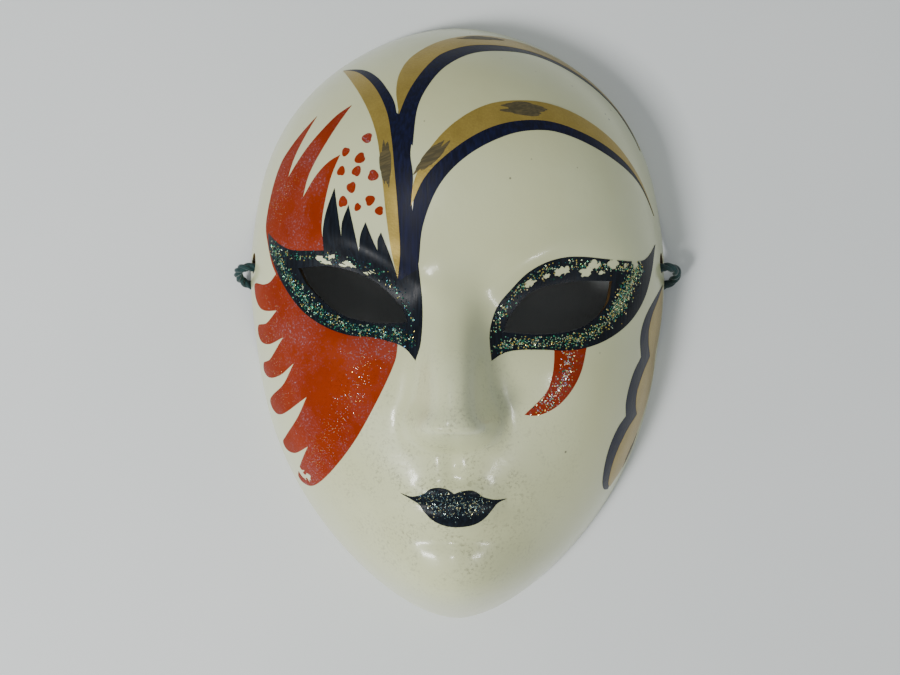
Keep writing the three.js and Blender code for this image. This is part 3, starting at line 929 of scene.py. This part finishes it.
left_border = film(
    "left_eye_border", [LEFT_BORDER], [almond(LEFT_EYE, -PAINT_LAP), *chips(LEFT_CHIPS)], top=0.18,
    step=1.2,
)
right_border = film(
    "right_eye_border", [RIGHT_BORDER], [almond(RIGHT_EYE, -PAINT_LAP), *chips(RIGHT_CHIPS)], top=0.18,
    step=1.2,
)
lips = film("painted_lips", [LIPS], top=0.18, step=0.7)
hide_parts("left_eye_glitter")
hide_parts("right_eye_glitter")
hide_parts("lip_glitter")
print("borders and lips:", [triangles(p) for p in (left_border, right_border, lips)], "triangles")

# %% [markdown]
# Craft glitter is foil cut into hexagons about half a millimetre across. It is shaken over a
# line of wet glue, so it lies thickest along the middle of the line and thins out to its sides,
# and no two flakes lie at quite the same slant. Each flake is a real thin hexagon here, because
# only separate slanted mirrors sparkle as the view moves. The flakes' colour is a point
# attribute, so one material serves them all.

# %% Glitter flakes
FLAKE_THICKNESS = 0.05
FLAKES_FROM_EDGE = 0.4
POINTS_OF_A_FLAKE = 12
GREENS = [
    "#123B33", "#1E5B4A", "#0B2A2C", "#2F8F6B", "#0E3B3A", "#7FC7A0", "#12263A", "#C9D9B8",
    "#102F2E", "#C8B860", "#1A3550", "#3E6E78",
]
GOLDS = ["#E6C765", "#F2E6B0", "#C9D7B0", "#8FBF8A", "#3F8F6E", "#2C5F55", "#D9E2DC"]
SILVERS = ["#D9D6E2", "#B7A6C4", "#E8E2D8", "#C98F7A", "#E3C98F", "#9FA9C2"]
INKS = ["#27394A", "#3F5C66", "#6F8C8A", "#A8BDB4", "#D8D49A", "#1B2C3A"]


def one_flake():
    """A hexagon of foil, 1 mm in radius."""
    maker = bmesh.new()
    bmesh.ops.create_cone(
        maker, cap_ends=True, segments=6, radius1=MM, radius2=MM, depth=FLAKE_THICKNESS * MM
    )
    mesh = bpy.data.meshes.new("one_flake")
    maker.to_mesh(mesh)
    maker.free()
    return mesh


def scatter(name, lines, radius, height, tints, loops, holes, seed):
    """Flakes shaken over lines of glue. A line is (points, half-width, how many)."""
    pick = np.random.default_rng(seed)
    spots = []
    for points, spread, count in lines:
        line = through(points, 0.3)
        middle = line[pick.integers(0, len(line), count)]
        spots.append(middle + pick.normal(0, spread, (count, 2)))
    spots = np.vstack(spots)
    spots = spots[covered(spots, loops, holes)]
    point, along_p, _, normal = lie(spots[:, 0], spots[:, 1])
    flake = one_flake()
    flakes = bmesh.new()
    for place_mm, across, up in zip(point, along_p, normal):
        lean = pick.normal(0, 0.2, 3)
        z_axis = Vector(up + lean).normalized()
        x_axis = Vector(across)
        x_axis = (x_axis - z_axis * x_axis.dot(z_axis)).normalized()
        turn = Matrix((x_axis, z_axis.cross(x_axis), z_axis)).transposed().to_4x4()
        size = radius * pick.uniform(0.7, 1.25)
        at = Matrix.Translation(Vector(place_mm + up * (height + size * 0.22)) * MM)
        spin = Matrix.Rotation(pick.uniform(0, 1), 4, "Z") @ Matrix.Diagonal((size, size, 1, 1))
        laid = flake.copy()
        laid.transform(at @ turn @ spin)
        flakes.from_mesh(laid)
        bpy.data.meshes.remove(laid)
    bpy.data.meshes.remove(flake)
    piece = to_object(name, flakes)
    colours = np.array([linear(tint) for tint in tints])[pick.integers(0, len(tints), len(spots))]
    tint = piece.data.color_attributes.new("foil_tint", "FLOAT_COLOR", "POINT")
    tint.data.foreach_set("color", np.repeat(colours, POINTS_OF_A_FLAKE, axis=0).ravel())
    return piece


left_holes = [almond(LEFT_EYE, FLAKES_FROM_EDGE), *chips(LEFT_CHIPS)]
right_holes = [almond(RIGHT_EYE, FLAKES_FROM_EDGE), *chips(RIGHT_CHIPS)]
LEFT_LOWER = [(-79, 29), (-72, 20), (-65, 12), (-57, 5), (-50, 1), (-42, -2.3), (-33, -3.6),
              (-24, -4.6), (-16.5, -7)]
LEFT_UPPER = [(-74, 27), (-62, 23.6), (-50, 23), (-38, 20.6), (-28, 16.4), (-20, 9), (-15.5, 0)]
RIGHT_LOWER = [(12.4, -9), (24, -7.6), (35, -8), (45, -7), (54, -3), (61, 2.2), (67, 8.4)]
RIGHT_CORNER = [(61, 2.2), (66, 8), (70, 14), (75, 20)]
RIGHT_UPPER = [(12.6, -2), (16, 5.5), (22, 12), (29, 16.6), (38, 19), (48, 19.4), (58, 19.4),
               (68, 19.4), (76, 21)]
LIP_LINE = [(-14, -67.5), (-6, -67), (2, -68), (10, -68.5)]
LOWER_LIP_LINE = [(-9, -71), (-1, -72.5), (7, -71)]
flake_pieces = [
    scatter("left_eye_flakes", [(LEFT_LOWER, 1.5, 1700), (LEFT_UPPER, 1.1, 330)], 0.25, 0.18,
            GREENS, [LEFT_BORDER], left_holes, 1),
    scatter("right_eye_flakes",
            [(RIGHT_LOWER, 1.5, 1100), (RIGHT_CORNER, 1.9, 1000), (RIGHT_UPPER, 1.2, 700)],
            0.25, 0.18, GREENS + GOLDS[:4], [RIGHT_BORDER], right_holes, 2),
    scatter("lip_flakes", [(LIP_LINE, 2.4, 520), (LOWER_LIP_LINE, 1.4, 130)], 0.19, 0.18,
            INKS, [LIPS], [], 3),
    scatter("wing_flakes",
            [([(-31, -9), (-36, -22), (-43, -36), (-52, -50), (-62, -66)], 3.2, 420),
             ([(-66, 60), (-77, 50), (-80, 40)], 4.5, 260),
             ([(-80, 8), (-80, -12), (-76, -30), (-74, -46)], 7, 420)],
            0.11, 0.1, SILVERS + GOLDS[:2], [WING], [LEFT_BORDER], 4),
    scatter("crescent_flakes", [([(40, -11), (39.6, -18), (36, -26), (28, -33)], 1.7, 260)],
            0.24, 0.1, GOLDS + SILVERS, [CRESCENT], [RIGHT_BORDER], 5),
]
print("flakes:", [len(piece.data.vertices) // POINTS_OF_A_FLAKE for piece in flake_pieces])

# %% [markdown]
# The face is gesso, a chalk and glue ground, under clear gloss lacquer: cream that has yellowed
# a little, with a faint orange-peel surface, fine dust specks caught in the lacquer and grey
# grime where fingers and drips leave it, round the nose and mouth. The shader gives the chalk a
# soft base and the lacquer a clear coat over it.

# %% Lacquered gesso and raw paper


def lacquered_gesso():
    """Chalk ground brushed smooth under clear lacquer: soft cream with sharp highlights."""
    material, shader = new_material("cream_gesso_under_gloss_lacquer")
    at = place(material)
    yellowing = ramp(material, noise(material, at, 60, 3), 0.35, 0.7)
    ground = blend_of(material, yellowing, linear("#D4D8AC"), linear("#CCCD9C"))
    near_mouth = node(material, "VectorMath", {0: at, 1: (-6 * MM, -62 * MM, 60 * MM)},
                      operation="DISTANCE").outputs["Value"]
    handled = ramp(material, near_mouth, 62 * MM, 14 * MM)
    blotch = ramp(material, noise(material, at, 9, 6, 0.65), 0.4, 0.62)
    grain = ramp(material, noise(material, at, 1.1, 3, 0.7), 0.5, 0.66)
    grime = math_of(material, "MULTIPLY", math_of(material, "MULTIPLY", blotch, grain), handled)
    soiled = blend_of(material, math_of(material, "MULTIPLY", grime, 0.75), ground,
                      linear("#6E6B52"))
    cells = node(material, "TexVoronoi", {"Vector": at, "Scale": per_metre(7)})
    cells.inputs["Randomness"].default_value = 1.0
    speck = ramp(material, cells.outputs["Distance"], 0.075, 0.045)
    rare = ramp(material, noise(material, at, 23, 2), 0.52, 0.6)
    specks = math_of(material, "MULTIPLY", speck, rare)
    colour = blend_of(material, math_of(material, "MULTIPLY", specks, 0.8), soiled,
                      linear("#4A4636"))
    link(material, colour, shader, "Base Color")
    rough = math_of(material, "MULTIPLY_ADD", noise(material, at, 14, 4), 0.16, 0.26)
    link(material, rough, shader, "Roughness")
    shader.inputs["Coat Weight"].default_value = 0.6
    shader.inputs["Coat Roughness"].default_value = 0.13
    shader.inputs["IOR"].default_value = 1.5
    peel = bump_of(material, noise(material, at, 5.5, 2), 0.09)
    dust = bump_of(material, noise(material, at, 0.9, 2), 0.012, peel)
    link(material, dust, shader, "Normal")
    link(material, peel, shader, "Coat Normal")
    return material


def raw_paper():
    """Torn brown paper soaked in glue: dull, mottled, with the edges of the strips showing."""
    material, shader = new_material("raw_brown_glued_paper")
    at = place(material)
    stains = ramp(material, noise(material, at, 18, 5, 0.6), 0.3, 0.7)
    colour = blend_of(material, stains, linear("#3E290A"), linear("#4E3810"))
    strips = node(material, "TexVoronoi", {"Vector": at, "Scale": per_metre(26)},
                  feature="DISTANCE_TO_EDGE").outputs["Distance"]
    edge = ramp(material, strips, 0.0, 0.05)
    darker = blend_of(material, edge, linear("#2E1F08"), colour)
    link(material, darker, shader, "Base Color")
    shader.inputs["Roughness"].default_value = 0.82
    fibres = noise(material, at, 1.2, 6, 0.7)
    link(material, bump_of(material, fibres, 0.15, bump_of(material, edge, 0.25)), shader, "Normal")
    return material


shell.data.materials.append(lacquered_gesso())
shell.data.materials.append(raw_paper())
print("shell materials:", [m.name for m in shell.data.materials])

# %% [markdown]
# The paints. Dark blue enamel is brushed on in long strokes that stay as fine ridges and catch
# the light. The gold is bronze powder in varnish, so it is a metal with a broad sheen. The orange
# is a flat opaque acrylic, dusted over with lilac and silver powder that thins out in clouds.

# %% Paints


def brushed_ridges(material, at, along, across_mm, along_mm):
    """Noise drawn out along one axis, as the hairs of a brush leave it."""
    scale = [per_metre(across_mm)] * 3
    scale["XYZ".index(along)] = per_metre(along_mm)
    stretched = node(material, "Mapping", {"Vector": at, "Scale": scale}).outputs["Vector"]
    made = node(material, "TexNoise", {"Vector": stretched, "Scale": 1.0, "Detail": 3.0})
    return made.outputs["Fac"]


def blue_enamel(name="brushed_dark_blue_enamel", base="#060A20", high="#10163A"):
    """Enamel brushed along the face: nearly black, with a streaked sheen."""
    material, shader = new_material(name)
    at = place(material)
    hairs = brushed_ridges(material, at, "Y", 0.8, 16)
    tone = ramp(material, hairs, 0.4, 0.75)
    link(material, blend_of(material, tone, linear(base), linear(high)), shader, "Base Color")
    rough = ramp(material, hairs, 0.0, 1.0)
    link(material, math_of(material, "MULTIPLY_ADD", rough, 0.3, 0.2), shader, "Roughness")
    link(material, bump_of(material, hairs, 0.05), shader, "Normal")
    shader.inputs["Specular IOR Level"].default_value = 0.2
    return material


def bronze_gold():
    """Bronze powder in varnish: a broad sheen. The powder is drawn coarse, so that it shows."""
    material, shader = new_material("bronze_powder_gold_paint")
    at = place(material)
    cloud = ramp(material, noise(material, at, 9, 4, 0.6), 0.3, 0.72)
    powder = ramp(material, noise(material, at, 0.7, 2), 0.3, 0.7)
    base = blend_of(material, cloud, linear("#9A8438"), linear("#AE9646"))
    flecked = blend_of(material, math_of(material, "MULTIPLY", powder, 0.35), base,
                       linear("#846A30"))
    link(material, flecked, shader, "Base Color")
    shader.inputs["Metallic"].default_value = 0.45
    shader.inputs["Roughness"].default_value = 0.3
    link(material, bump_of(material, powder, 0.03), shader, "Normal")
    return material


def dry_brown():
    """Thin brown paint dragged over the gold with a nearly dry brush."""
    material, shader = new_material("dry_brushed_umber_paint")
    at = place(material)
    turned = node(material, "Mapping", {"Vector": at, "Rotation": (0, 0, math.radians(-20))})
    hairs = brushed_ridges(material, turned.outputs["Vector"], "X", 0.7, 7)
    thin = ramp(material, hairs, 0.42, 0.62)
    colour = blend_of(material, thin, linear("#443C1E"), linear("#5C502C"))
    link(material, colour, shader, "Base Color")
    shader.inputs["Roughness"].default_value = 0.5
    link(material, bump_of(material, hairs, 0.06), shader, "Normal")
    return material


def dusted_orange():
    """Flat acrylic under dry powder: a dull orange that goes greyish lilac in clouds."""
    material, shader = new_material("orange_acrylic_with_lilac_dust")
    at = place(material)
    mottle = ramp(material, noise(material, at, 20, 3), 0.3, 0.7)
    paint = blend_of(material, mottle, linear("#842400"), linear("#902C00"))
    cloud = ramp(material, noise(material, at, 17, 4, 0.62), 0.44, 0.7)
    grains = ramp(material, noise(material, at, 0.85, 3, 0.75), 0.56, 0.62)
    veil = math_of(material, "MULTIPLY", cloud, 0.1)
    dust = math_of(material, "MAXIMUM", math_of(material, "MULTIPLY", cloud, grains), veil)
    link(material, blend_of(material, dust, paint, linear("#94747E")), shader, "Base Color")
    shader.inputs["Roughness"].default_value = 0.55
    shader.inputs["Specular IOR Level"].default_value = 0.08
    link(material, bump_of(material, grains, 0.05), shader, "Normal")
    return material


def foil():
    """Cut polyester foil: a mirror with a transparent tint."""
    material, shader = new_material("cut_foil_glitter")
    tint = node(material, "Attribute", attribute_name="foil_tint").outputs["Color"]
    link(material, tint, shader, "Base Color")
    shader.inputs["Metallic"].default_value = 0.8
    shader.inputs["Roughness"].default_value = 0.25
    return material


def cotton_twine():
    """Spun cotton dyed dark green: fine fibres that run along each strand."""
    material, shader = new_material("dyed_green_cotton_twine")
    uv = node(material, "UVMap", uv_map="along_the_strands").outputs["UV"]
    fine = node(material, "Mapping", {"Vector": uv, "Scale": (0.5, 26, 1)}).outputs["Vector"]
    fibres = node(material, "TexNoise", {"Vector": fine, "Scale": 2.2, "Detail": 4.0}).outputs["Fac"]
    tone = ramp(material, fibres, 0.35, 0.7)
    link(material, blend_of(material, tone, linear("#0B2224"), linear("#1F4A49")), shader,
         "Base Color")
    shader.inputs["Roughness"].default_value = 0.72
    shader.inputs["Sheen Weight"].default_value = 0.4
    shader.inputs["Sheen Roughness"].default_value = 0.4
    link(material, bump_of(material, fibres, 0.12), shader, "Normal")
    return material


def wear(material, *pieces):
    for piece in pieces:
        piece.data.materials.clear()
        piece.data.materials.append(material)
        for face in piece.data.polygons:
            face.material_index = 0


wear(blue_enamel(), scrolls, scallop_edge)
wear(blue_enamel("blue_black_enamel_under_glitter", "#060A12", "#101A26"), left_border,
     right_border, lips)
wear(bronze_gold(), *gold_pieces)
wear(dry_brown(), touches)
wear(dusted_orange(), wing, crescent, drops)
wear(foil(), *flake_pieces)
wear(cotton_twine(), *cord_pieces)
print("materials:", sorted(m.name for m in bpy.data.materials))

# %% [markdown]
# The mask lies on a plain pale board. One soft light stands at the lower left, as a window would,
# and gives the form its shade. Four small ones light nothing but the gloss: two strips put the
# pair of highlights on the chin, and two small ones overhead find the nose, the brow and the lip.
# A pale world fills the shadows.

# %% Board, lights and world
KEY_AT, KEY_SIZE, KEY_POWER = (-640, -430, 930), (260, 260), 13.0
GLINTS = [
    ("left_strip_light", (-1120, -400, 1050), (120, 420), 8.0),
    ("right_strip_light", (850, -310, 1050), (90, 300), 2.2),
    ("small_ceiling_light", (-190, -190, 1050), (50, 50), 0.9),
    ("far_ceiling_light", (-250, 358, 1050), (80, 80), 1.4),
]


def board():
    maker = bmesh.new()
    bmesh.ops.create_grid(maker, x_segments=2, y_segments=2, size=1.5)
    mesh = bpy.data.meshes.new("pale_board")
    maker.to_mesh(mesh)
    maker.free()
    piece = bpy.data.objects.new("pale_board", mesh)
    bpy.context.collection.objects.link(piece)
    material, shader = new_material("matt_white_painted_board")
    at = place(material)
    cloud = ramp(material, noise(material, at, 140, 3), 0.3, 0.7)
    link(material, blend_of(material, cloud, linear("#E3E7E6"), linear("#E9EBEA")), shader,
         "Base Color")
    shader.inputs["Roughness"].default_value = 0.6
    mesh.materials.append(material)
    return piece


def soft_light(name, at, size, power, aim=(0, -20, 30)):
    light = bpy.data.lights.new(name, "AREA")
    light.shape = "RECTANGLE"
    light.size, light.size_y = size[0] * MM, size[1] * MM
    light.energy = power
    lamp = bpy.data.objects.new(name, light)
    lamp.location = Vector(at) * MM
    lamp.rotation_euler = (Vector(aim) - Vector(at)).to_track_quat("-Z", "Y").to_euler()
    bpy.context.collection.objects.link(lamp)
    return lamp


board()
window = soft_light("window_light", KEY_AT, KEY_SIZE, KEY_POWER)
window.visible_glossy = False
for name, at, size, power in GLINTS:
    glint = soft_light(name, at, size, power)
    glint.visible_diffuse = False
world = bpy.data.worlds.new("pale_room")
world.use_nodes = True
world.node_tree.nodes["Background"].inputs["Color"].default_value = linear("#DDE2E4")
world.node_tree.nodes["Background"].inputs["Strength"].default_value = 0.56
bpy.context.scene.world = world
